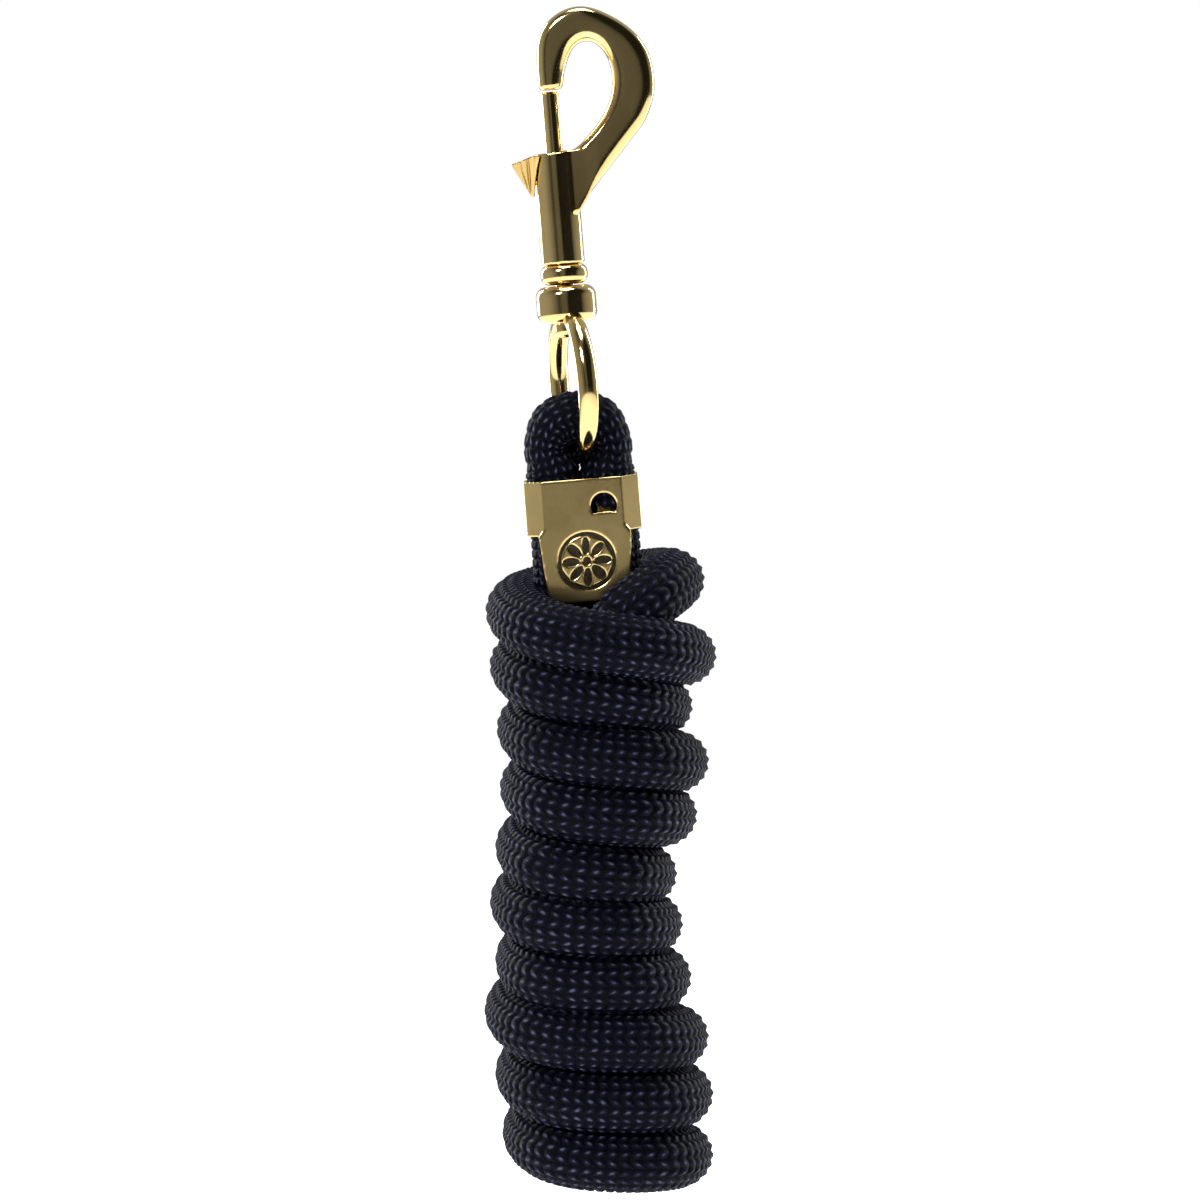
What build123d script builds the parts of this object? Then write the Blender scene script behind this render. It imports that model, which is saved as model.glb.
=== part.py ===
from build123d import *
import math
import os

os.makedirs("parts", exist_ok=True)

# A horse lead rope, hanging plumb from its bolt snap.
# Millimetres, +Z up, +X to the right, +Y to the back.
# The origin is the top of the hook's inside, where the hook hangs on a halter ring.

# ---- driving dimensions ----
snap_x = -9.8             # the snap's upright axis, through barrel, bolt and swivel

# hook and barrel
hook_thickness = 8.4
hook_edge_round = 2.3
nose_z = -11.4            # underside of the hook's nose
barrel_r = 5.4
barrel_top_z = -27.0
barrel_bottom_z = -54.6
bore_r = 3.5
bore_top_z = -31.0
slot_half_width = 1.6

# gate
gate_travel = 12.5
bolt_r = 2.1
bolt_gap = 0.5            # between the bolt's tip and the nose
bolt_hole_r = 2.3
head_r = 3.3
head_length = 4.5
spigot_r = 1.7
spigot_length = 3.0
stem_r = 1.3
stem_z = -33.4
knob_top_z = -27.4
knob_bottom_z = -37.4
knob_x = snap_x - 6.7     # centre of the thumb knob's inverted cone
knob_r = 5.6
knob_tip_r = 1.0
knob_facets = 12
knob_clearance = 0.35

# spring
spring_wire_r = 0.32
spring_r = 2.6
spring_turns = 7

# swivel
plug_top_z = -51.8
shank_r = 2.4
collar_r = 5.9
collar_bottom_z = -59.7
hub_r = 7.5
hub_top_z = -60.0
hub_bottom_z = -69.2
hub_hole_r = 2.55
rivet_head_r = 3.4
rivet_head_top_z = -69.5
rivet_head_bottom_z = -73.0
ring_r = 17.3             # centreline of the eye's ring
ring_wire_r = 2.5
ring_centre_z = -84.9
ring_yaw = 12             # degrees that the hanging eye is turned about the snap's axis

# rope
rope_d = 16.0
loop_hole_r = 3.4         # the bight's inside, round the ring's wire
loop_thickness = 9.4      # the squeezed rope, across the loop
loop_depth = 17.6         # and through it
short_end_z = -139.0
coil_top_z = -140.0
coil_bottom_z = -287.5
coil_depth = 64.0
turn_widths = (57, 50, 52.5, 49, 45, 48, 49, 56, 54.5, 53)
turn_shifts = (2.0, -1.5, 0.2, -2.0, -6.3, -7.3, -6.7, -7.0, -6.3, -6.5)
tail_x = snap_x - 6.4
tail_y = -8.0
tail_r = 7.8
tail_top_z = -262.0
tail_bottom_z = -284.0
tail_bore_r = 9.1
whipping_r = 8.7
whipping_top_z = -270.0
whipping_bottom_z = -281.5

# clamp
sheet = 1.2
clamp_top_z = -107.9
band_bottom_z = -121.6
clamp_bottom_z = -138.6
clamp_half_width = 14.35
clamp_half_depth = 10.4
clamp_flat = 10.0         # half of the band's flat front
clamp_side = 5.0          # half of the band's flat side
seam_half_gap = 0.4
tongue_top_half = 11.5
tongue_bottom_half = 10.2
tongue_corner_r = 3.0
badge_z = -128.4
badge_r = 7.2
badge_groove = 0.8
badge_depth = 0.4
petal_count = 8
prong_x = 5.2
prong_z = -115.0
prong_r = 3.2

# ---- worked out from them ----
pivot_z = ring_centre_z - ring_r              # the wire that the loop hangs on
loop_r = loop_hole_r + loop_thickness / 2     # centreline of the bight
turn_count = len(turn_widths)
turn_height = (coil_top_z - coil_bottom_z) / turn_count


def axis_plane(z):
    """A level plane whose origin is on the snap's axis."""
    return Plane(origin=(snap_x, 0, z), x_dir=(1, 0, 0), z_dir=(0, 0, 1))


def finish(part, name):
    part.label = name
    export_step(part, f"parts/{name}.step")


# ---- the cast hook and its barrel ----
outer_points = [
    (-12.4, nose_z),
    (-12.3, -3.8),
    (-10.7, 3.1),
    (-6.6, 7.1),
    (-0.7, 8.6),
    (6.2, 6.1),
    (12.0, 1.6),
    (15.3, -3.6),
    (16.4, -9.6),
    (15.7, -15.6),
    (13.6, -20.3),
    (11.0, -23.6),
]
inner_points = [
    (-5.2, -26.6),
    (-0.9, -23.2),
    (3.9, -17.3),
    (6.0, -11.0),
    (5.4, -5.2),
    (3.2, -1.4),
    (0.0, 0.0),
    (-3.0, -1.5),
    (-4.9, -5.0),
    (-6.5, nose_z),
]
spine_foot = (-1.5, -37.4)
spine_end = (-4.6, -42.0)
spine_run = (spine_foot[0] - outer_points[-1][0], spine_foot[1] - outer_points[-1][1])

with BuildPart() as snap_body:
    with BuildSketch(Plane.XZ.offset(-hook_thickness / 2)):
        with BuildLine():
            Spline(*outer_points, tangents=[(-0.02, 1), spine_run])
            Line(outer_points[-1], spine_foot)
            Polyline(spine_foot, spine_end, (snap_x, spine_end[1]), (snap_x, inner_points[0][1]), inner_points[0])
            Spline(*inner_points, tangents=[(1, 0.5), (-0.15, -1)])
            Line(inner_points[-1], outer_points[0])
        make_face()
    extrude(amount=hook_thickness)
    fillet(snap_body.edges().filter_by(Plane.XZ).filter_by(GeomType.BSPLINE), hook_edge_round)
    with BuildSketch(axis_plane(barrel_bottom_z)):
        Circle(barrel_r)
    extrude(amount=barrel_top_z - barrel_bottom_z)
    with BuildSketch(axis_plane(barrel_bottom_z)):
        Circle(bore_r)
    extrude(amount=bore_top_z - barrel_bottom_z, mode=Mode.SUBTRACT)
    with BuildSketch(axis_plane(bore_top_z - 1)):
        Circle(bolt_hole_r)
    extrude(amount=barrel_top_z - bore_top_z + 2, mode=Mode.SUBTRACT)
    slot_top_z = stem_z + stem_r + 0.2
    slot_bottom_z = stem_z - gate_travel - stem_r - 0.2
    with BuildSketch(Plane.YZ.offset(snap_x - barrel_r - 1)):
        with Locations((0, (slot_top_z + slot_bottom_z) / 2)):
            SlotOverall(slot_top_z - slot_bottom_z, 2 * slot_half_width, rotation=90)
    extrude(amount=barrel_r + 1, mode=Mode.SUBTRACT)
finish(snap_body.part, "snap_body")

# ---- the gate: a bolt that the thumb pulls down ----
bolt_top_z = nose_z - bolt_gap
head_top_z = bore_top_z - 0.2
head_bottom_z = head_top_z - head_length
with BuildPart() as gate_bolt:
    with BuildSketch(axis_plane(head_top_z)):
        Circle(bolt_r)
    extrude(amount=bolt_top_z - head_top_z)
    chamfer(gate_bolt.faces().sort_by(Axis.Z)[-1].edges(), 0.5)
    with BuildSketch(axis_plane(head_bottom_z)):
        Circle(head_r)
    extrude(amount=head_length)
    with BuildSketch(axis_plane(head_bottom_z - spigot_length)):
        Circle(spigot_r)
    extrude(amount=spigot_length)
    with BuildSketch(Plane.YZ.offset(snap_x - head_r - 1)):
        with Locations((0, stem_z)):
            Circle(stem_r)
    extrude(amount=3, mode=Mode.SUBTRACT)
finish(gate_bolt.part, "gate_bolt")

with BuildPart() as thumb_knob:
    with BuildSketch(Plane(origin=(knob_x, 0, knob_top_z), z_dir=(0, 0, 1))):
        RegularPolygon(knob_r, knob_facets)
    with BuildSketch(Plane(origin=(knob_x + 1.2, 0, knob_bottom_z), z_dir=(0, 0, 1))):
        RegularPolygon(knob_tip_r, knob_facets)
    loft(ruled=True)
    # the thumb ledge slopes down and outwards
    with BuildSketch(Plane.XZ.offset(-knob_r - 1)):
        with BuildLine():
            Polyline(
                (snap_x - barrel_r, knob_top_z),
                (knob_x - knob_r - 1, knob_top_z),
                (knob_x - knob_r - 1, knob_top_z - 2.3),
                close=True,
            )
        make_face()
    extrude(amount=2 * knob_r + 2, mode=Mode.SUBTRACT)
    with BuildSketch(axis_plane(knob_bottom_z - 1)):
        Circle(barrel_r + knob_clearance)
    extrude(amount=knob_top_z - knob_bottom_z + 2, mode=Mode.SUBTRACT)
    with BuildSketch(Plane.YZ.offset(snap_x - head_r + 2)):
        with Locations((0, stem_z)):
            Circle(stem_r)
    extrude(amount=-(barrel_r - head_r + 4))
finish(thumb_knob.part, "thumb_knob")

spring_height = head_bottom_z - plug_top_z - 2 * spring_wire_r - 0.2
with BuildPart() as gate_spring:
    with BuildLine():
        coil_line = Helix(
            spring_height / spring_turns,
            spring_height,
            spring_r,
            center=(snap_x, 0, plug_top_z + spring_wire_r + 0.1),
        )
    with BuildSketch(Plane(origin=coil_line @ 0, z_dir=coil_line % 0)):
        Circle(spring_wire_r)
    sweep(is_frenet=True)
finish(gate_spring.part, "gate_spring")

# ---- the swivel ----
with BuildPart() as barrel_plug:
    with BuildSketch(axis_plane(barrel_bottom_z)):
        Circle(bore_r)
        Circle(shank_r, mode=Mode.SUBTRACT)
    extrude(amount=plug_top_z - barrel_bottom_z)
finish(barrel_plug.part, "barrel_plug")

with BuildPart() as swivel_collar:
    with BuildSketch(axis_plane(collar_bottom_z)):
        Circle(collar_r)
    extrude(amount=barrel_bottom_z - collar_bottom_z)
    fillet(swivel_collar.edges(), 2.2)
    with BuildSketch(axis_plane(collar_bottom_z)):
        Circle(shank_r)
    extrude(amount=barrel_bottom_z - collar_bottom_z, mode=Mode.SUBTRACT)
finish(swivel_collar.part, "swivel_collar")

with BuildPart() as swivel_rivet:
    with BuildSketch(axis_plane(rivet_head_bottom_z)):
        Circle(rivet_head_r)
    extrude(amount=rivet_head_top_z - rivet_head_bottom_z)
    fillet(swivel_rivet.edges().sort_by(Axis.Z)[0], 2.0)
    with BuildSketch(axis_plane(rivet_head_top_z)):
        Circle(shank_r)
    extrude(amount=plug_top_z - rivet_head_top_z)
finish(swivel_rivet.part, "swivel_rivet")

ring_out = (math.sin(math.radians(ring_yaw)), -math.cos(math.radians(ring_yaw)), 0)
ring_plane = Plane(origin=(snap_x, 0, ring_centre_z), x_dir=ring_out, z_dir=(0, 0, 1))
with BuildPart() as swivel_eye:
    with BuildSketch(ring_plane):
        with Locations((ring_r, 0)):
            Circle(ring_wire_r)
    ring_normal = Vector(0, 0, 1).cross(Vector(*ring_out))
    revolve(axis=Axis((snap_x, 0, ring_centre_z), ring_normal))
    with BuildPart(mode=Mode.PRIVATE) as hub:
        with BuildSketch(axis_plane(hub_bottom_z)):
            Circle(hub_r)
        extrude(amount=hub_top_z - hub_bottom_z)
        fillet(hub.edges(), 2.6)
    add(hub.part)
    with BuildSketch(axis_plane(hub_bottom_z - 6)):
        Circle(hub_hole_r)
    extrude(amount=hub_top_z - hub_bottom_z + 7, mode=Mode.SUBTRACT)
    with BuildSketch(axis_plane(hub_bottom_z - 6)):
        Circle(rivet_head_r + 0.5)
    extrude(amount=6, mode=Mode.SUBTRACT)
finish(swivel_eye.part, "swivel_eye")

# ---- the rope: the loop on the eye, the coil, and the tail in the coil's middle ----
with BuildPart() as rope_loop:
    with BuildLine(Plane.XZ):
        loop_line = FilletPolyline(
            (snap_x - loop_r, short_end_z),
            (snap_x - loop_r, pivot_z + loop_r),
            (snap_x + loop_r, pivot_z + loop_r),
            (snap_x + loop_r, coil_top_z),
            radius=loop_r * 0.9999,
        )
    with BuildSketch(Plane(origin=loop_line @ 0, x_dir=(1, 0, 0), z_dir=(0, 0, 1))):
        Ellipse(loop_thickness / 2, loop_depth / 2)
    sweep()
finish(rope_loop.part, "rope_loop")

# the last wrap passes behind the clamp, round the right side and down in front
wrap_points = [
    (snap_x - 18.3, -6, -149.4),
    (snap_x - 21.1, 13, -142.3),
    (snap_x - 4.5, 25.5, -137.8),
    (snap_x + 14, 19.5, -136.3),
    (snap_x + 22.3, 1.5, -135),
    (snap_x + 16.8, -16, -136.9),
    (snap_x + 6.6, -21.5, -143.7),
    (snap_x + 2.1, -18, -153.1),
]


def corner_radii(points):
    """Each corner's radius: 0.45 of its shorter run over the tangent of half the turn."""
    radii = []
    for before, here, after in zip(points, points[1:], points[2:]):
        run_in = Vector(*here) - Vector(*before)
        run_out = Vector(*after) - Vector(*here)
        half_turn = math.radians(run_in.get_angle(run_out)) / 2
        radii.append(0.45 * min(run_in.length, run_out.length) / math.tan(half_turn))
    return radii


wrap_radii = corner_radii(wrap_points)
print("wrap radii", [round(r, 1) for r in wrap_radii])

with BuildPart() as rope_coil:
    for index in range(turn_count):
        bottom_z = coil_top_z - (index + 1) * turn_height
        turn_x = snap_x + turn_shifts[index]
        with BuildPart(mode=Mode.PRIVATE) as turn:
            with BuildSketch(Plane(origin=(turn_x, 0, bottom_z), z_dir=(0, 0, 1))):
                SlotOverall(coil_depth, turn_widths[index], rotation=90)
            extrude(amount=turn_height)
            fillet(turn.faces().filter_by(Axis.Z).edges(), 0.42 * turn_height)
        add(turn.part)
    with BuildSketch(Plane(origin=(tail_x, tail_y, coil_bottom_z), z_dir=(0, 0, 1))):
        Circle(tail_bore_r)
    extrude(amount=tail_top_z - coil_bottom_z, mode=Mode.SUBTRACT)
finish(rope_coil.part, "rope_coil")

with BuildPart() as rope_last_wrap:
    with BuildLine():
        wrap_line = FilletPolyline(*wrap_points, radius=wrap_radii)
    with BuildSketch(Plane(origin=wrap_line @ 0, z_dir=wrap_line % 0)):
        Circle(rope_d / 2)
    sweep()
finish(rope_last_wrap.part, "rope_last_wrap")

with BuildPart() as rope_tail:
    with BuildSketch(Plane(origin=(tail_x, tail_y, tail_bottom_z), z_dir=(0, 0, 1))):
        Circle(tail_r)
    extrude(amount=tail_top_z - tail_bottom_z)
    fillet(rope_tail.edges().sort_by(Axis.Z)[0], 2.0)
finish(rope_tail.part, "rope_tail")

with BuildPart() as end_whipping:
    with BuildSketch(Plane(origin=(tail_x, tail_y, whipping_bottom_z), z_dir=(0, 0, 1))):
        Circle(whipping_r)
        Circle(tail_r, mode=Mode.SUBTRACT)
    extrude(amount=whipping_top_z - whipping_bottom_z)
finish(end_whipping.part, "end_whipping")

# ---- the folded clamp over both legs of the loop ----
def band_outline(half_width, half_depth, flat, side):
    """The band's eight corners, anticlockwise from the front right."""
    return [
        (flat, -half_depth),
        (half_width, -side),
        (half_width, side),
        (flat, half_depth),
        (-flat, half_depth),
        (-half_width, side),
        (-half_width, -side),
        (-flat, -half_depth),
    ]


with BuildPart() as rope_clamp:
    with BuildSketch(axis_plane(band_bottom_z)):
        with BuildLine():
            Polyline(*band_outline(clamp_half_width, clamp_half_depth, clamp_flat, clamp_side), close=True)
        make_face()
        offset(amount=-sheet, mode=Mode.SUBTRACT)
        with Locations((0, clamp_half_depth)):
            Rectangle(2 * seam_half_gap, 4 * sheet, mode=Mode.SUBTRACT)
    extrude(amount=clamp_top_z - band_bottom_z)
    with BuildSketch(Plane(origin=(snap_x, -clamp_half_depth, 0), x_dir=(1, 0, 0), z_dir=(0, -1, 0))) as tongue:
        with BuildLine():
            Polyline(
                (-clamp_flat, band_bottom_z + 2),
                (clamp_flat, band_bottom_z + 2),
                (tongue_top_half, band_bottom_z),
                (tongue_bottom_half, clamp_bottom_z),
                (-tongue_bottom_half, clamp_bottom_z),
                (-tongue_top_half, band_bottom_z),
                close=True,
            )
        make_face()
        fillet(tongue.vertices().group_by(Axis.Y)[0], tongue_corner_r)
    extrude(amount=-sheet)
    # the lanced hole, its tooth bent into the rope, and the round stamped badge
    with BuildSketch(Plane(origin=(snap_x + prong_x, -clamp_half_depth, prong_z), x_dir=(1, 0, 0), z_dir=(0, -1, 0))):
        Circle(prong_r)
        with Locations((0, -prong_r)):
            Rectangle(3 * prong_r, prong_r, mode=Mode.SUBTRACT)
    extrude(amount=-sheet, mode=Mode.SUBTRACT)
    with BuildSketch(Plane.YZ.offset(snap_x + prong_x - 1.8)):
        with BuildLine():
            Polyline(
                (-clamp_half_depth + 0.1, prong_z - prong_r / 2),
                (-clamp_half_depth + sheet, prong_z - prong_r / 2),
                (-clamp_half_depth + 4.2, prong_z + 1.6),
                close=True,
            )
        make_face()
    extrude(amount=3.6)
    with BuildSketch(Plane(origin=(snap_x, -clamp_half_depth, badge_z), x_dir=(1, 0, 0), z_dir=(0, -1, 0))):
        Circle(badge_r)
        Circle(badge_r - badge_groove, mode=Mode.SUBTRACT)
        with PolarLocations(0.55 * badge_r, petal_count):
            Ellipse(0.3 * badge_r, 0.13 * badge_r)
        Circle(0.14 * badge_r)
    extrude(amount=-badge_depth, mode=Mode.SUBTRACT)
finish(rope_clamp.part, "rope_clamp")
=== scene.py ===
import math

import bmesh
import bpy
import numpy as np
from mathutils import Matrix, Vector


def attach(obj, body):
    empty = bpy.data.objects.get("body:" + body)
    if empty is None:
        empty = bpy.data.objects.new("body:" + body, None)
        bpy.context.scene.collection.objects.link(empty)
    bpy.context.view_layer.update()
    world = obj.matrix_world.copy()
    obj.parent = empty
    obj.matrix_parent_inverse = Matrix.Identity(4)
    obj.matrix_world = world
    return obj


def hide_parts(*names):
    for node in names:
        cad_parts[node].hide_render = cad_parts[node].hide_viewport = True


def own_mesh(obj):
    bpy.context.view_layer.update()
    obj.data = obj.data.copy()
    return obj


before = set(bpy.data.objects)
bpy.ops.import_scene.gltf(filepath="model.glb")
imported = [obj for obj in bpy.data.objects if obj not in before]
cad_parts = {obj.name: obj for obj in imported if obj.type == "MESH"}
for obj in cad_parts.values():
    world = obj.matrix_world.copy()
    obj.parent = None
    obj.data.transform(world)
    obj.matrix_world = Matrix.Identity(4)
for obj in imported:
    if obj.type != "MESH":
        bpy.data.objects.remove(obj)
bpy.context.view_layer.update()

mm = 0.001
snapX = -9.8  # the snap's upright axis, in mm as every size below

cameraSetup = {
    "lookAt": (-7.4, 0, -139.1),
    "distance": 1100,
    "height": -50,
    "roll": 4.6,  # degrees
    "lens": 132,
}

rope = {
    "diameter": 16,
    "columns": 20,  # stitches side by side round the rope
    "sides": 40,
    "stitch": 2.3,  # length of one stitch along the rope
    "rowPlaces": (0.0, 0.24, 0.76),  # the three rings of one stitch
    "slant": 1.25,
    "stitchHeight": 0.5,
    "columnHeight": 0.5,
    "tipLength": 4,
    "coilTall": 0.93,  # how the turns press each other flatter
    "loopWidths": (0.68, 0.13, 0.15),  # in the eye, then what it gains over the top and in the clamp
    "loopDepths": (1.12, 0.06),  # in the eye, then what it loses in the clamp
    "overTop": (-99, -94),  # heights between which each of these comes in
    "intoClamp": (-106, -102),
    "clampFoot": (-136, -122),
    "loopFade": (-2, 22),  # how far along past the loop's end its squeeze fades
}

# the loop through the eye, from the short end in the clamp to the coil's top
loopPoints = [
    (snapX - 7.0, 0, -139),
    (snapX - 6.8, 0, -127),
    (snapX - 6.6, 0, -116),
    (snapX - 6.6, 0, -108.5),
    (snapX - 7.0, 0, -104.5),
    (snapX - 8.5, 0, -100),
    (snapX - 5.6, 0, -94.2),
    (snapX, 0, -92.6),
    (snapX + 5.6, 0, -94.2),
    (snapX + 8.5, 0, -100),
    (snapX + 7.0, 0, -104.5),
    (snapX + 6.6, 0, -108.5),
    (snapX + 6.6, 0, -116),
    (snapX + 6.8, 0, -127),
    (snapX + 6.4, 0, -138),
]

# the standing strand goes down inside the turns and comes out under the last one
corePoints = [
    (snapX + 4, 4, -149),
    (snapX + 0.5, 7.5, -162),
    (snapX - 1.5, 8, -182),
    (snapX - 5, 8, -203),
    (snapX - 6.7, 8, -225),
    (snapX - 6.7, 8, -248),
    (snapX - 6.2, 8.5, -262),
    (snapX - 4, 12.5, -273),
    (snapX + 2.5, 16, -280),
]

# each turn's outer left and right, then the height of its middle at the left and at the right
turns = [
    (-26.5, 30.5, -139.4, -154.9),
    (-26.5, 23.5, -153.2, -167.1),
    (-26.0, 26.5, -169.5, -181.5),
    (-26.5, 22.5, -184.5, -194.6),
    (-28.8, 16.2, -199.4, -209.2),
    (-31.3, 16.7, -213.2, -221.8),
    (-31.2, 17.8, -228.3, -235.6),
    (-35.0, 21.0, -240.8, -251.1),
    (-33.6, 21.0, -256.9, -265.8),
    (-33.0, 20.0, -272.0, -280.8),
]
turnFronts = (28.5, 24.5, 25, 24.2, 23.6, 24, 24, 25, 24.6, 24.3)
turnBacks = (25.5, 24, 24.8, 24, 24.3, 23.8, 24.2, 24.6, 24, 23.4)
halfTurnPoints = 8
turnSquareness = 0.86

# the last wrap behind the clamp, and the tail tucked down inside the turns
wrapPoints = [
    (snapX - 4.5, 25.5, -137.8),
    (snapX + 14, 19.5, -136.3),
    (snapX + 22.3, 1.5, -135),
    (snapX + 16.8, -16, -136.9),
    (snapX + 6.6, -21.5, -143.7),
    (snapX + 2.1, -18, -153.1),
    (snapX - 1, -11.5, -166),
    (snapX - 2.5, -8, -183),
    (snapX - 5.5, -8, -205),
    (snapX - 6.4, -8, -226),
    (snapX - 6.4, -8, -254),
    (snapX - 6.4, -8, -284),
]


def metres(point):
    return Vector(point) * mm


def makeCamera(setup):
    target = metres(setup["lookAt"])
    eye = Vector((target.x, -setup["distance"] * mm, setup["height"] * mm))
    forward = (target - eye).normalized()
    right = forward.cross(Vector((0, 0, 1))).normalized()
    up = right.cross(forward)
    roll = math.radians(setup["roll"])
    rolledRight = right * math.cos(roll) - up * math.sin(roll)
    rolledUp = up * math.cos(roll) + right * math.sin(roll)
    data = bpy.data.cameras.new("camera")
    data.lens = setup["lens"]
    data.clip_end = 20
    camera = bpy.data.objects.new("camera", data)
    turned = Matrix((rolledRight, rolledUp, -forward)).transposed().to_4x4()
    turned.translation = eye
    camera.matrix_world = turned
    bpy.context.scene.collection.objects.link(camera)
    bpy.context.scene.camera = camera


def addObject(name, mesh, body):
    piece = bpy.data.objects.new(name, mesh)
    bpy.context.scene.collection.objects.link(piece)
    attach(piece, body)
    return piece


def coilPoints():
    # from the right of the lowest turn, forwards and left, round and up
    points = []
    radius = rope["diameter"] / 2
    for index in range(len(turns) - 1, -1, -1):
        left, right, leftZ, rightZ = turns[index]
        passes = [(snapX + right - radius, rightZ, snapX + left + radius, leftZ, -turnFronts[index])]
        if index > 0:
            nextLeft, nextRight, nextLeftZ, nextRightZ = turns[index - 1]
            passes.append((snapX + left + radius, leftZ,
                           snapX + nextRight - radius, nextRightZ, turnBacks[index]))
        for startX, startZ, endX, endZ, depth in passes:
            for step in range(halfTurnPoints):
                angle = math.pi * step / halfTurnPoints
                side = math.copysign(abs(math.cos(angle)) ** turnSquareness, math.cos(angle))
                share = step / halfTurnPoints
                points.append((
                    (startX + endX) / 2 + (startX - endX) / 2 * side,
                    depth * math.sin(angle) ** turnSquareness,
                    startZ + (endZ - startZ) * share,
                ))
    # off the top turn, towards the last wrap
    left, right, leftZ, rightZ = turns[0]
    points.append((snapX + left + radius, 0, leftZ))
    points.append((snapX + left + radius + 3, 16, leftZ + 1))
    return points


def splineLine(points, name):
    # the smooth line of a route, read from its NURBS spline
    data = bpy.data.curves.new(name, "CURVE")
    data.dimensions = "3D"
    data.resolution_u = 16
    spline = data.splines.new("NURBS")
    spline.points.add(len(points) - 1)
    for point, place in zip(spline.points, points):
        point.co = (*metres(place), 1)
    spline.order_u = 3
    spline.use_endpoint_u = True
    holder = bpy.data.objects.new(name, data)
    mesh = bpy.data.meshes.new_from_object(holder)
    line = np.array([vertex.co for vertex in mesh.vertices])
    bpy.data.objects.remove(holder)
    bpy.data.curves.remove(data)
    bpy.data.meshes.remove(mesh)
    return line


def unitRows(rows):
    return rows / np.linalg.norm(rows, axis=1, keepdims=True)


def carriedFrames(line):
    # a side direction carried along the line without twist
    tangents = unitRows(np.gradient(line, axis=0))
    side = np.cross(tangents[0], (0.0, 1.0, 0.0))
    sides = []
    for tangent in tangents:
        side = side - tangent * side.dot(tangent)
        side = side / np.linalg.norm(side)
        sides.append(side)
    return tangents, np.array(sides)


def smoothShare(values, low, high):
    share = np.clip((values - low) / (high - low), 0, 1)
    return share * share * (3 - 2 * share)


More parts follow.
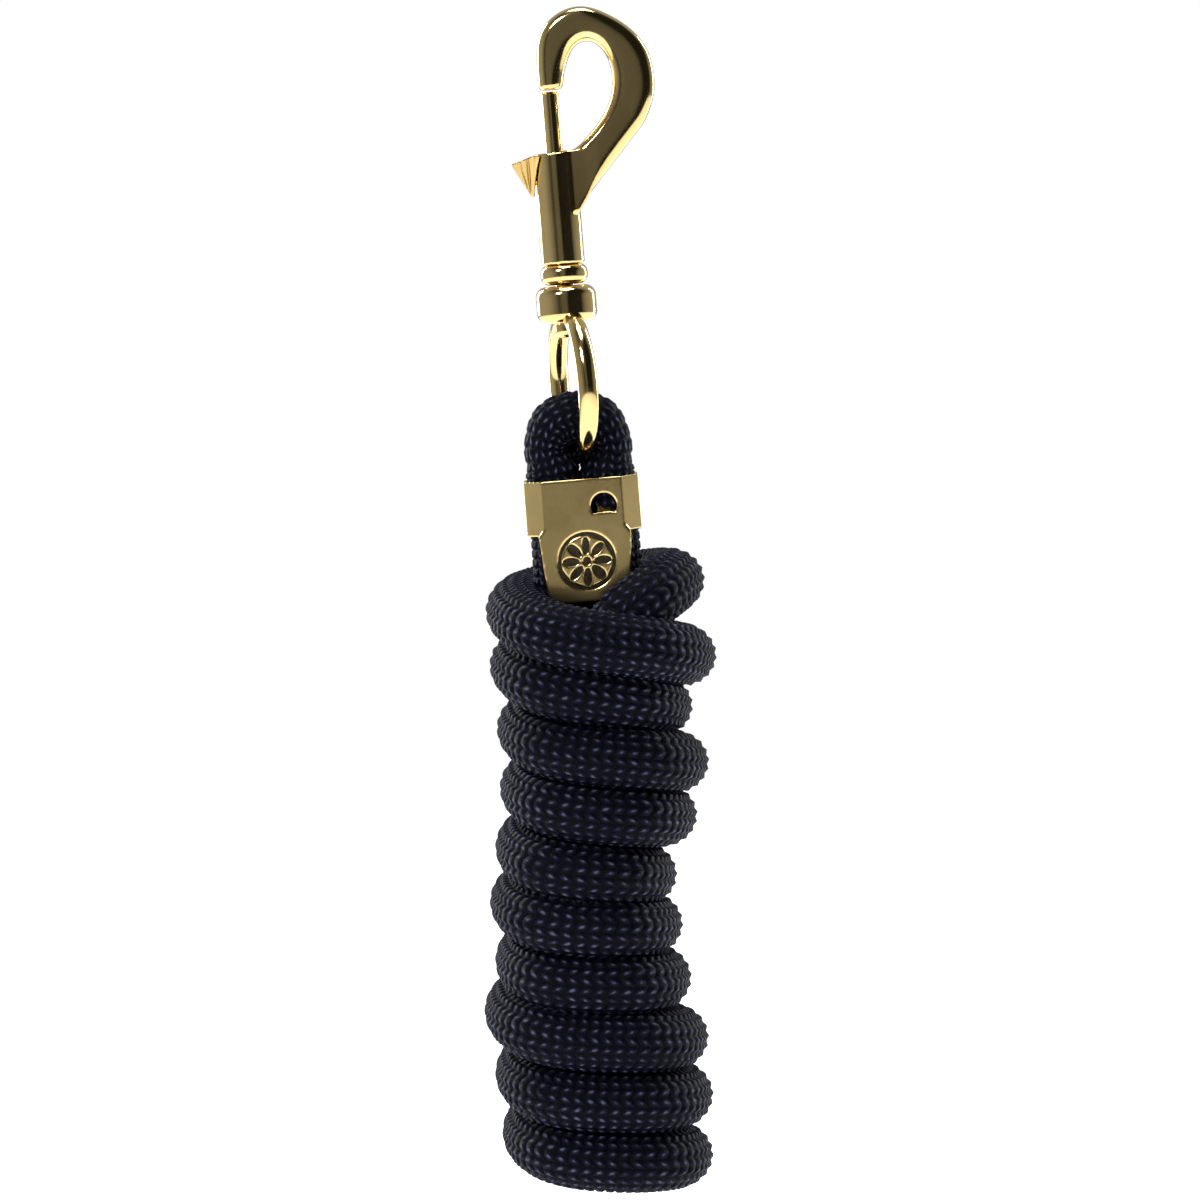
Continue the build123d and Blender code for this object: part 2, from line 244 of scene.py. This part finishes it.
def braidedRope(line):
    # a grid rolled into a tube: zigzag rings, each stitch a small pillow
    seams = np.linalg.norm(np.diff(line, axis=0), axis=1)
    along = np.concatenate([[0], np.cumsum(seams)])
    total = along[-1]
    stations = np.linspace(0, total, int(total / (1 * mm)))
    centre = np.stack([np.interp(stations, along, line[:, k]) for k in range(3)], axis=1)
    tangents, sides = carriedFrames(centre)

    stitch = rope["stitch"] * mm
    stitchCount = int(total / stitch)
    stitch = total / stitchCount
    rows = stitchCount * 3
    bm = bmesh.new()
    bmesh.ops.create_grid(bm, x_segments=rows, y_segments=rope["sides"], size=1, calc_uvs=False)
    mesh = bpy.data.meshes.new("rope")
    bm.to_mesh(mesh)
    bm.free()
    co = np.zeros(len(mesh.vertices) * 3)
    mesh.vertices.foreach_get("co", co)
    co = co.reshape(-1, 3)
    rowIndex = np.rint((co[:, 0] + 1) / 2 * rows).astype(int)
    sideIndex = np.rint((co[:, 1] + 1) / 2 * rope["sides"]).astype(int)

    stitchPlace = rowIndex // 3 + np.array(rope["rowPlaces"])[rowIndex % 3]
    column = sideIndex * rope["columns"] / rope["sides"]
    zigzag = np.abs(column % 2 - 1)
    s = np.clip(stitchPlace * stitch + (zigzag - 0.5) * rope["slant"] * mm, 0, total)
    s = np.where(rowIndex == 0, 0, np.where(rowIndex == rows, total, s))
    crest = np.where(rowIndex % 3 == 0, 0.0, 1.0)
    middle = np.abs((column + 0.5) % 1 - 0.5) * 2
    height = rope["stitchHeight"] * (crest - 0.66) * (0.45 + 0.55 * middle)
    height = height + rope["columnHeight"] * (middle - 0.5)
    radius = (rope["diameter"] / 2 + height) * mm

    # the tail's melted tip is rounded
    toEnd = total - s
    tip = np.clip(toEnd / (rope["tipLength"] * mm), 0, 1)
    radius = radius * np.sqrt(np.clip(1 - (1 - tip) ** 2, 0.02, 1))

    def at(values):
        return np.stack([np.interp(s, stations, values[:, k]) for k in range(3)], axis=1)

    middleLine = at(centre)
    tangent = unitRows(at(tangents))
    side = at(sides)
    side = unitRows(side - tangent * (side * tangent).sum(1, keepdims=True))
    other = np.cross(tangent, side)
    angle = sideIndex / rope["sides"] * 2 * math.pi
    offset = radius[:, None] * (np.cos(angle)[:, None] * side + np.sin(angle)[:, None] * other)

    # in the loop the eye and the clamp squeeze the rope flat across the loop
    loopEnd = along[np.argmin(np.linalg.norm(line - np.array(metres(loopPoints[-1])), axis=1))]
    z = middleLine[:, 2] / mm
    fadeStart, fadeEnd = rope["loopFade"]
    inLoop = 1 - smoothShare(s, loopEnd + fadeStart * mm, loopEnd + fadeEnd * mm)
    width, topGain, clampGain = rope["loopWidths"]
    thin = width + topGain * smoothShare(z, *rope["overTop"])
    thin = thin + clampGain * (1 - smoothShare(z, *rope["intoClamp"]))
    depth, clampLoss = rope["loopDepths"]
    deep = depth - clampLoss * (1 - smoothShare(z, *rope["clampFoot"]))
    across = unitRows(np.cross(tangent, np.array([[0.0, 1.0, 0.0]])))
    acrossPart = (offset * across).sum(1, keepdims=True) * across
    deepPart = offset[:, 1:2] * np.array([[0.0, 1.0, 0.0]])
    loopOffset = offset + (thin - 1)[:, None] * acrossPart + (deep - 1)[:, None] * deepPart

    # in the coil the turns press on each other
    level = np.sqrt(np.clip(1 - tangent[:, 2] ** 2, 0, 1))
    inCoil = smoothShare(level, 0.75, 0.95) * (1 - inLoop)
    upright = np.array([[0.0, 0.0, 1.0]]) - tangent * tangent[:, 2:3]
    upright = upright / np.maximum(np.linalg.norm(upright, axis=1, keepdims=True), 1e-6)
    uprightPart = (offset * upright).sum(1, keepdims=True) * upright
    coilOffset = offset + (rope["coilTall"] - 1) * uprightPart
    woundOffset = offset * (1 - inCoil)[:, None] + coilOffset * inCoil[:, None]
    shaped = loopOffset * inLoop[:, None] + woundOffset * (1 - inLoop)[:, None]

    mesh.vertices.foreach_set("co", (middleLine + shaped).astype(np.float32).ravel())
    uvLayer = mesh.uv_layers.new(name="braid")
    corner = np.zeros(len(mesh.loops), dtype=np.int32)
    mesh.loops.foreach_get("vertex_index", corner)
    uv = np.stack([stitchPlace[corner], column[corner]], axis=1)
    uvLayer.data.foreach_set("uv", uv.astype(np.float32).ravel())

    bm = bmesh.new()
    bm.from_mesh(mesh)
    bmesh.ops.remove_doubles(bm, verts=bm.verts, dist=1e-6)
    bmesh.ops.holes_fill(bm, edges=[edge for edge in bm.edges if edge.is_boundary], sides=0)
    bmesh.ops.recalc_face_normals(bm, faces=bm.faces)
    bm.to_mesh(mesh)
    bm.free()
    mesh.shade_smooth()
    mesh.update()
    return mesh, centre, total


def newMaterial(name):
    material = bpy.data.materials.new(name)
    material.use_nodes = True
    nodes = material.node_tree.nodes
    return material, nodes, material.node_tree.links, nodes["Principled BSDF"]


def mathNode(nodes, links, operation, *inputs):
    node = nodes.new("ShaderNodeMath")
    node.operation = operation
    for place, value in enumerate(inputs):
        if isinstance(value, (int, float)):
            node.inputs[place].default_value = value
        else:
            links.new(value, node.inputs[place])
    return node.outputs[0]


def colourRamp(nodes, links, factor, stops):
    ramp = nodes.new("ShaderNodeValToRGB")
    elements = ramp.color_ramp.elements
    while len(elements) < len(stops):
        elements.new(0.5)
    for element, (place, colour) in zip(elements, stops):
        element.position = place
        element.color = (*colour, 1)
    links.new(factor, ramp.inputs["Fac"])
    return ramp.outputs["Color"]


def noiseOn(nodes, links, vector, scale, detail=4.0, roughness=0.6):
    noise = nodes.new("ShaderNodeTexNoise")
    noise.inputs["Scale"].default_value = scale
    noise.inputs["Detail"].default_value = detail
    noise.inputs["Roughness"].default_value = roughness
    links.new(vector, noise.inputs["Vector"])
    return noise.outputs["Fac"]


def addBump(nodes, links, shader, height, strength, distance):
    bump = nodes.new("ShaderNodeBump")
    bump.inputs["Strength"].default_value = strength
    bump.inputs["Distance"].default_value = distance
    links.new(height, bump.inputs["Height"])
    links.new(bump.outputs["Normal"], shader.inputs["Normal"])


def ropeMaterial():
    # each stitch is a pillow of yarns; its colour carries painted shade in its gaps and a painted
    # highlight on its crown
    material, nodes, links, shader = newMaterial("navyBraid")
    uvMap = nodes.new("ShaderNodeUVMap")
    uvMap.uv_map = "braid"
    split = nodes.new("ShaderNodeSeparateXYZ")
    links.new(uvMap.outputs["UV"], split.inputs["Vector"])
    stitchPlace, column = split.outputs["X"], split.outputs["Y"]
    fromGap = mathNode(nodes, links, "PINGPONG", stitchPlace, 0.5)
    fromEdge = mathNode(nodes, links, "PINGPONG", column, 0.5)

    def crownOf(distance):
        raised = mathNode(nodes, links, "MULTIPLY", distance, 2.4)
        return mathNode(nodes, links, "SMOOTH_MIN", raised, 1, 0.4)

    crown = mathNode(nodes, links, "MULTIPLY", crownOf(fromGap), crownOf(fromEdge))
    yarns = nodes.new("ShaderNodeCombineXYZ")
    links.new(mathNode(nodes, links, "MULTIPLY", stitchPlace, 9), yarns.inputs["X"])
    links.new(mathNode(nodes, links, "MULTIPLY", column, 2.2), yarns.inputs["Y"])
    yarnNoise = noiseOn(nodes, links, yarns.outputs["Vector"], 1.0, 3.0)
    stitchTone = nodes.new("ShaderNodeTexWhiteNoise")
    stitchTone.noise_dimensions = "2D"
    whole = nodes.new("ShaderNodeCombineXYZ")
    links.new(mathNode(nodes, links, "FLOOR", stitchPlace), whole.inputs["X"])
    links.new(mathNode(nodes, links, "FLOOR", column), whole.inputs["Y"])
    links.new(whole.outputs["Vector"], stitchTone.inputs["Vector"])
    place = nodes.new("ShaderNodeTexCoord").outputs["Object"]
    worn = noiseOn(nodes, links, place, 55.0, 5.0)
    # painted light: the crown's share, lifted by yarn grain, per-stitch tone and random wear
    paintedCrownLight = mathNode(nodes, links, "POWER", crown, 1.6)
    paintedCrownLight = mathNode(nodes, links, "MULTIPLY", paintedCrownLight, mathNode(nodes, links, "ADD", yarnNoise, 0.45))
    toned = mathNode(nodes, links, "MULTIPLY", stitchTone.outputs["Value"], 0.35)
    toned = mathNode(nodes, links, "ADD", toned, 0.75)
    paintedCrownLight = mathNode(nodes, links, "MULTIPLY", paintedCrownLight, toned)
    paintedCrownLight = mathNode(nodes, links, "MULTIPLY", paintedCrownLight, mathNode(nodes, links, "ADD", worn, 0.45))
    # from painted shade in the gaps to a painted highlight on each stitch's crown
    colour = colourRamp(nodes, links, paintedCrownLight, [
        (0.0, (0.001, 0.0012, 0.0035)),
        (0.3, (0.003, 0.0036, 0.011)),
        (0.55, (0.012, 0.014, 0.034)),
        (0.85, (0.075, 0.08, 0.125)),
    ])
    links.new(colour, shader.inputs["Base Color"])
    shader.inputs["Roughness"].default_value = 0.55
    shader.inputs["Sheen Weight"].default_value = 0.03
    shader.inputs["Sheen Roughness"].default_value = 0.4
    shader.inputs["Sheen Tint"].default_value = (0.5, 0.55, 0.8, 1)
    shader.inputs["Specular IOR Level"].default_value = 0.05
    pillow = mathNode(nodes, links, "MULTIPLY", crown, 1.2)
    grain = mathNode(nodes, links, "MULTIPLY", yarnNoise, 0.5)
    height = mathNode(nodes, links, "ADD", pillow, grain)
    addBump(nodes, links, shader, height, 0.8, 0.0005)
    return material


def plateMaterial(name, base, dark, roughness, grain):
    # bright plating over a cast or pressed surface, a little uneven and handled
    material, nodes, links, shader = newMaterial(name)
    place = nodes.new("ShaderNodeTexCoord").outputs["Object"]
    broad = noiseOn(nodes, links, place, 60.0, 1.5, 0.4)
    fine = noiseOn(nodes, links, place, 900.0, 4.0)
    colour = colourRamp(nodes, links, broad, [(0.3, dark), (0.65, base)])
    links.new(colour, shader.inputs["Base Color"])
    shader.inputs["Metallic"].default_value = 1.0
    spread = mathNode(nodes, links, "MULTIPLY", fine, grain)
    links.new(mathNode(nodes, links, "ADD", spread, roughness), shader.inputs["Roughness"])
    height = mathNode(nodes, links, "ADD", broad, mathNode(nodes, links, "MULTIPLY", fine, 0.015))
    addBump(nodes, links, shader, height, 0.25, 0.0006)
    return material


def steelMaterial():
    material, nodes, links, shader = newMaterial("springSteel")
    place = nodes.new("ShaderNodeTexCoord").outputs["Object"]
    drawn = noiseOn(nodes, links, place, 700.0, 3.0)
    colour = colourRamp(nodes, links, drawn, [(0.3, (0.32, 0.32, 0.33)), (0.7, (0.55, 0.55, 0.56))])
    links.new(colour, shader.inputs["Base Color"])
    shader.inputs["Metallic"].default_value = 1.0
    shader.inputs["Roughness"].default_value = 0.3
    addBump(nodes, links, shader, drawn, 0.1, 0.0001)
    return material


def threadMaterial():
    material, nodes, links, shader = newMaterial("waxedThread")
    place = nodes.new("ShaderNodeTexCoord").outputs["Object"]
    twist = noiseOn(nodes, links, place, 1500.0, 3.0)
    colour = colourRamp(nodes, links, twist, [(0.3, (0.004, 0.006, 0.018)), (0.7, (0.02, 0.026, 0.07))])
    links.new(colour, shader.inputs["Base Color"])
    shader.inputs["Roughness"].default_value = 0.5
    addBump(nodes, links, shader, twist, 0.4, 0.0002)
    return material


def paint(piece, material):
    piece.data.materials.clear()
    piece.data.materials.append(material)


# in mm: the axis, the helix's radius and the thread's or wire's own
whippingSetup = {
    "axis": (snapX - 6.4, -8),
    "radius": 8.2,
    "wireRadius": 0.55,
    "turns": 10,
    "heights": (-280.9, -270.6),
}
springSetup = {
    "axis": (snapX, 0),
    "radius": 2.6,
    "wireRadius": 0.32,
    "turns": 7,
    "heights": (-51.4, -36.1),
}


def woundThread(name, setup, sides=10, steps=28):
    # one round section spun up an axis into a helix
    x, y = setup["axis"]
    lowZ, highZ = setup["heights"]
    bm = bmesh.new()
    made = bmesh.ops.create_circle(bm, cap_ends=True, segments=sides, radius=setup["wireRadius"] * mm)
    bmesh.ops.rotate(bm, verts=made["verts"], cent=(0, 0, 0), matrix=Matrix.Rotation(math.pi / 2, 3, "X"))
    bmesh.ops.translate(bm, verts=made["verts"], vec=metres((x + setup["radius"], y, lowZ)))
    allSteps = steps * setup["turns"]
    bmesh.ops.spin(
        bm,
        geom=bm.verts[:] + bm.edges[:] + bm.faces[:],
        cent=metres((x, y, lowZ)),
        axis=(0, 0, 1),
        dvec=(0, 0, (highZ - lowZ) * mm / allSteps),
        angle=2 * math.pi * setup["turns"],
        steps=allSteps,
        use_merge=False,
    )
    bmesh.ops.recalc_face_normals(bm, faces=bm.faces)
    mesh = bpy.data.meshes.new(name)
    bm.to_mesh(mesh)
    bm.free()
    mesh.shade_smooth()
    return mesh


casting = {"voxel": 0.34, "rounds": 8}  # mm, and how often its corners are eased
pressing = {"voxel": 0.25, "rounds": 4}
bow = {
    "rounds": 45,  # eased more than the rest, until its face is crowned
    "foot": 27.5,  # below the origin, where the bow meets the barrel
    "clearOfAxis": 7,
    "fade": 4,
    "letOut": 1.06,  # easing draws it in, so it is let out to the casting's thickness
}
knob = {
    "voxel": 0.2,
    "rounds": 3,
    "middle": (snapX - 6.7, 0),
    "ribs": 12,
    "ribHeight": 0.5,
    "ribsStart": (6.1, 6.9),  # from the barrel's axis, so that the stem stays plain
}
badge = {
    "middle": (snapX, -10.4, -128.4),
    "radius": 7.2,
    "groove": 0.8,
    "depth": 0.4,
    "floor": 0.12,  # left between the plating and the top of the painted groove shade
    "sunk": 0.02,
    "petals": 8,
    "petalSize": (0.3, 0.13),  # these and the next two are shares of the radius
    "petalPlace": 0.55,
    "heart": 0.14,
}


def softened(nodeName, name, setup):
    # a copy of the sharp solid with its corners eased, as casting and pressing leave them
    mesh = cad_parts[nodeName].data.copy()
    bm = bmesh.new()
    bm.from_mesh(mesh)
    bmesh.ops.remove_doubles(bm, verts=bm.verts, dist=1e-6)
    bm.to_mesh(mesh)
    bm.free()
    holder = bpy.data.objects.new(name + "Source", mesh)
    bpy.context.scene.collection.objects.link(holder)
    remesh = holder.modifiers.new("remesh", "REMESH")
    remesh.mode = "VOXEL"
    remesh.voxel_size = setup["voxel"] * mm
    ease = holder.modifiers.new("ease", "SMOOTH")
    ease.factor = 0.5
    ease.iterations = setup["rounds"]
    result = bpy.data.meshes.new_from_object(holder.evaluated_get(bpy.context.evaluated_depsgraph_get()))
    result.name = name
    bpy.data.objects.remove(holder)
    bpy.data.meshes.remove(mesh)
    result.materials.clear()
    result.shade_smooth()
    return result


def crowned(mesh, setup):
    # ease only the bow of the hook, clear of the barrel
    holder = bpy.data.objects.new("bow", mesh)
    bpy.context.scene.collection.objects.link(holder)
    co = vertexPlaces(mesh)
    clear = np.maximum(co[:, 2] + setup["foot"], co[:, 0] - snapX - setup["clearOfAxis"])
    weight = smoothShare(clear, 0, setup["fade"])
    group = holder.vertex_groups.new(name="bow")
    for index, share in enumerate(weight):
        if share > 0:
            group.add([index], float(share), "REPLACE")
    ease = holder.modifiers.new("ease", "SMOOTH")
    ease.factor = 0.5
    ease.iterations = setup["rounds"]
    ease.vertex_group = "bow"
    result = bpy.data.meshes.new_from_object(holder.evaluated_get(bpy.context.evaluated_depsgraph_get()))
    bpy.data.objects.remove(holder)
    eased = vertexPlaces(result)
    eased[:, 1] *= np.interp(weight, [0, 1], [1.0, setup["letOut"]])
    result.vertices.foreach_set("co", (eased * mm).astype(np.float32).ravel())
    result.update()
    result.shade_smooth()
    return result


def vertexPlaces(mesh):
    co = np.zeros(len(mesh.vertices) * 3)
    mesh.vertices.foreach_get("co", co)
    return co.reshape(-1, 3) / mm


def ribbed(mesh, setup):
    # shallow ribs run down the thumb knob's cone
    co = vertexPlaces(mesh)
    x, y = co[:, 0] - setup["middle"][0], co[:, 1] - setup["middle"][1]
    angle = np.arctan2(y, x)
    reach = np.hypot(x, y)
    clearOfBarrel = smoothShare(np.hypot(co[:, 0] - snapX, co[:, 1]), *setup["ribsStart"])
    wave = np.abs(np.sin(angle * setup["ribs"] / 2)) - 1
    push = 1 + setup["ribHeight"] * 2 * wave * clearOfBarrel / np.maximum(reach, 2)
    co[:, 0] = setup["middle"][0] + x * push
    co[:, 1] = setup["middle"][1] + y * push
    mesh.vertices.foreach_set("co", (co * mm).astype(np.float32).ravel())
    mesh.update()
    return mesh


def badgeGrooveShade():
    # a dark solid laid in the floor of the stamped ring and its rosette: painted shade in the grooves
    bm = bmesh.new()
    thickness = (badge["depth"] - badge["floor"]) * mm
    radius = badge["radius"] * mm
    inner = radius - badge["groove"] * mm
    corners = ((inner, 0), (radius, 0), (radius, thickness), (inner, thickness))
    bm.faces.new([bm.verts.new((x, 0, z)) for x, z in corners])
    bmesh.ops.spin(bm, geom=bm.verts[:] + bm.edges[:] + bm.faces[:], cent=(0, 0, 0), axis=(0, 0, 1),
                   angle=2 * math.pi, steps=96, use_merge=True)
    for index in range(badge["petals"] + 1):
        isCentre = index == badge["petals"]
        made = bmesh.ops.create_circle(bm, cap_ends=True, segments=24, radius=radius)
        shape = made["verts"]
        length, width = (badge["heart"], badge["heart"]) if isCentre else badge["petalSize"]
        bmesh.ops.scale(bm, verts=shape, vec=(length, width, 1))
        bmesh.ops.translate(bm, verts=shape, vec=(0 if isCentre else badge["petalPlace"] * radius, 0, 0))
        bmesh.ops.rotate(bm, verts=shape, cent=(0, 0, 0),
                         matrix=Matrix.Rotation(2 * math.pi * index / badge["petals"], 3, "Z"))
        faces = list({face for vert in shape for face in vert.link_faces})
        lifted = bmesh.ops.extrude_face_region(bm, geom=faces)
        top = [part for part in lifted["geom"] if isinstance(part, bmesh.types.BMVert)]
        bmesh.ops.translate(bm, verts=top, vec=(0, 0, thickness))
    bmesh.ops.rotate(bm, verts=bm.verts, cent=(0, 0, 0), matrix=Matrix.Rotation(math.pi / 2, 3, "X"))
    x, y, z = badge["middle"]
    bmesh.ops.translate(bm, verts=bm.verts, vec=metres((x, y + badge["depth"] + badge["sunk"], z)))
    bmesh.ops.remove_doubles(bm, verts=bm.verts, dist=1e-7)
    bmesh.ops.recalc_face_normals(bm, faces=bm.faces)
    mesh = bpy.data.meshes.new("badge")
    bm.to_mesh(mesh)
    bm.free()
    return mesh


# painted shade for the badge's grooves: a near-black, half-metallic fill
def grooveShadeMaterial():
    material, nodes, links, shader = newMaterial("paintedGrooveShade")
    place = nodes.new("ShaderNodeTexCoord").outputs["Object"]
    patches = noiseOn(nodes, links, place, 800.0, 4.0)
    colour = colourRamp(nodes, links, patches, [(0.3, (0.012, 0.009, 0.004)), (0.75, (0.07, 0.05, 0.02))])
    links.new(colour, shader.inputs["Base Color"])
    shader.inputs["Metallic"].default_value = 0.6
    shader.inputs["Roughness"].default_value = 0.45
    addBump(nodes, links, shader, patches, 0.3, 0.0002)
    return material


# in metres and watts
studioSetup = {
    "floorRadius": 1.5,
    "floorHeight": -0.36,
    "floorGlow": 0.75,
    "aim": (-0.01, 0, -0.14),
    "roomTones": (  # what the metal reflects in front of it, from its left to its right
        (0.0, 0.45), (0.12, 0.26), (0.28, 0.05), (0.38, 0.15),
        (0.51, 0.13), (0.57, 0.012), (0.93, 0.02), (1.0, 0.3),
    ),
    "roomBack": 0.45,
    "backFrom": (0.45, 0.7),
    "lights": {  # place, width and height, power
        "keyLight": ((-0.6, -1.0, 0.9), (0.4, 0.4), 14),
        "stripLight": ((0.8, 0.7, 0.1), (0.12, 0.9), 6),
        "topLight": ((0.05, -0.1, 1.0), (0.5, 0.5), 9),
        "rimLight": ((-0.7, 0.8, 0.2), (0.3, 0.8), 8),
    },
}


def areaLight(name, place, size, power):
    data = bpy.data.lights.new(name, "AREA")
    data.shape = "RECTANGLE"
    data.size, data.size_y = size
    data.energy = power
    light = bpy.data.objects.new(name, data)
    light.location = place
    aim = Vector(studioSetup["aim"]) - Vector(place)
    light.rotation_euler = aim.to_track_quat("-Z", "Y").to_euler()
    light.visible_camera = False
    bpy.context.scene.collection.objects.link(light)


def studioWorld():
    # a white backdrop for the camera, and a room with a darker front for the metal to reflect
    world = bpy.data.worlds.new("world")
    bpy.context.scene.world = world
    world.use_nodes = True
    nodes, links = world.node_tree.nodes, world.node_tree.links
    plain = nodes["Background"]
    plain.inputs["Color"].default_value = (1, 1, 1, 1)
    plain.inputs["Strength"].default_value = 1.0
    room = nodes.new("ShaderNodeBackground")
    direction = nodes.new("ShaderNodeTexCoord").outputs["Generated"]
    split = nodes.new("ShaderNodeSeparateXYZ")
    links.new(direction, split.inputs["Vector"])
    across = mathNode(nodes, links, "MULTIPLY_ADD", split.outputs["X"], 0.5, 0.5)
    tones = [(place, (tone, tone, tone)) for place, tone in studioSetup["roomTones"]]
    front = colourRamp(nodes, links, across, tones)
    depth = mathNode(nodes, links, "MULTIPLY_ADD", split.outputs["Y"], 0.5, 0.5)
    frontEnd, backStart = studioSetup["backFrom"]
    share = colourRamp(nodes, links, depth, [(frontEnd, (0, 0, 0)), (backStart, (1, 1, 1))])
    joined = nodes.new("ShaderNodeMixRGB")
    links.new(share, joined.inputs["Fac"])
    links.new(front, joined.inputs["Color1"])
    joined.inputs["Color2"].default_value = (*[studioSetup["roomBack"]] * 3, 1)
    links.new(joined.outputs["Color"], room.inputs["Color"])
    mix = nodes.new("ShaderNodeMixShader")
    links.new(nodes.new("ShaderNodeLightPath").outputs["Is Camera Ray"], mix.inputs["Fac"])
    links.new(room.outputs["Background"], mix.inputs[1])
    links.new(plain.outputs["Background"], mix.inputs[2])
    links.new(mix.outputs["Shader"], nodes["World Output"].inputs["Surface"])


def studio():
    bpy.context.scene.view_settings.view_transform = "Standard"
    studioWorld()
    bm = bmesh.new()
    bmesh.ops.create_circle(bm, cap_ends=True, segments=96, radius=studioSetup["floorRadius"])
    bmesh.ops.translate(bm, verts=bm.verts, vec=(0, 0, studioSetup["floorHeight"]))
    mesh = bpy.data.meshes.new("floor")
    bm.to_mesh(mesh)
    bm.free()
    floor = bpy.data.objects.new("floor", mesh)
    bpy.context.scene.collection.objects.link(floor)
    material, nodes, links, shader = newMaterial("paleFloor")
    shader.inputs["Base Color"].default_value = (0.92, 0.92, 0.92, 1)
    shader.inputs["Roughness"].default_value = 0.9
    shader.inputs["Emission Color"].default_value = (1, 1, 1, 1)
    shader.inputs["Emission Strength"].default_value = studioSetup["floorGlow"]
    mesh.materials.append(material)
    for name, (place, size, power) in studioSetup["lights"].items():
        areaLight(name, place, size, power)


makeCamera(cameraSetup)
studio()
print("camera and studio ready")

routePoints = loopPoints + corePoints + coilPoints() + wrapPoints
ropeLine = splineLine(routePoints, "ropeRoute")
ropeMesh, ropePath, ropeLength = braidedRope(ropeLine)
print("rope", len(ropeMesh.vertices), "points,", round(ropeLength, 3), "m long")
ropePiece = addObject("braided_rope", ropeMesh, "rope")
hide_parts("rope_loop", "rope_coil", "rope_last_wrap", "rope_tail")
paint(ropePiece, ropeMaterial())

whipping = addObject("thread_whipping", woundThread("whipping", whippingSetup), "rope")
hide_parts("end_whipping")
paint(whipping, threadMaterial())

spring = addObject("coil_spring", woundThread("spring", springSetup), "snap")
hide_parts("gate_spring")
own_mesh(spring)
paint(spring, steelMaterial())

# two tones of each plating, its roughness and how much that varies
platings = {
    "goldPlate": ((0.78, 0.60, 0.27), (0.62, 0.46, 0.19), 0.08, 0.06),
    "clampPlate": ((0.74, 0.56, 0.24), (0.56, 0.42, 0.17), 0.17, 0.08),
    # the thumb knob's plating, in darker tones than the hook's
    "darkerKnobPlate": ((0.6, 0.44, 0.17), (0.4, 0.28, 0.1), 0.12, 0.1),
}
plates = {name: plateMaterial(name, *finish) for name, finish in platings.items()}
hook = crowned(softened("snap_body", "cast_hook", casting), bow)
paint(addObject("cast_hook", hook, "snap"), plates["goldPlate"])
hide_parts("snap_body")
thumb = ribbed(softened("thumb_knob", "ribbed_knob", knob), knob)
paint(addObject("ribbed_knob", thumb, "gate"), plates["darkerKnobPlate"])
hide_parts("thumb_knob")
band = softened("rope_clamp", "pressed_clamp", pressing)
paint(addObject("pressed_clamp", band, "rope"), plates["clampPlate"])
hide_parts("rope_clamp")
# the dark solid in the badge's grooves is painted shade
grooveShade = addObject("badge_groove_shade", badgeGrooveShade(), "rope")
paint(grooveShade, grooveShadeMaterial())
for name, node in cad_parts.items():
    if not node.hide_render:
        paint(node, plates["goldPlate"])
print("metal painted")
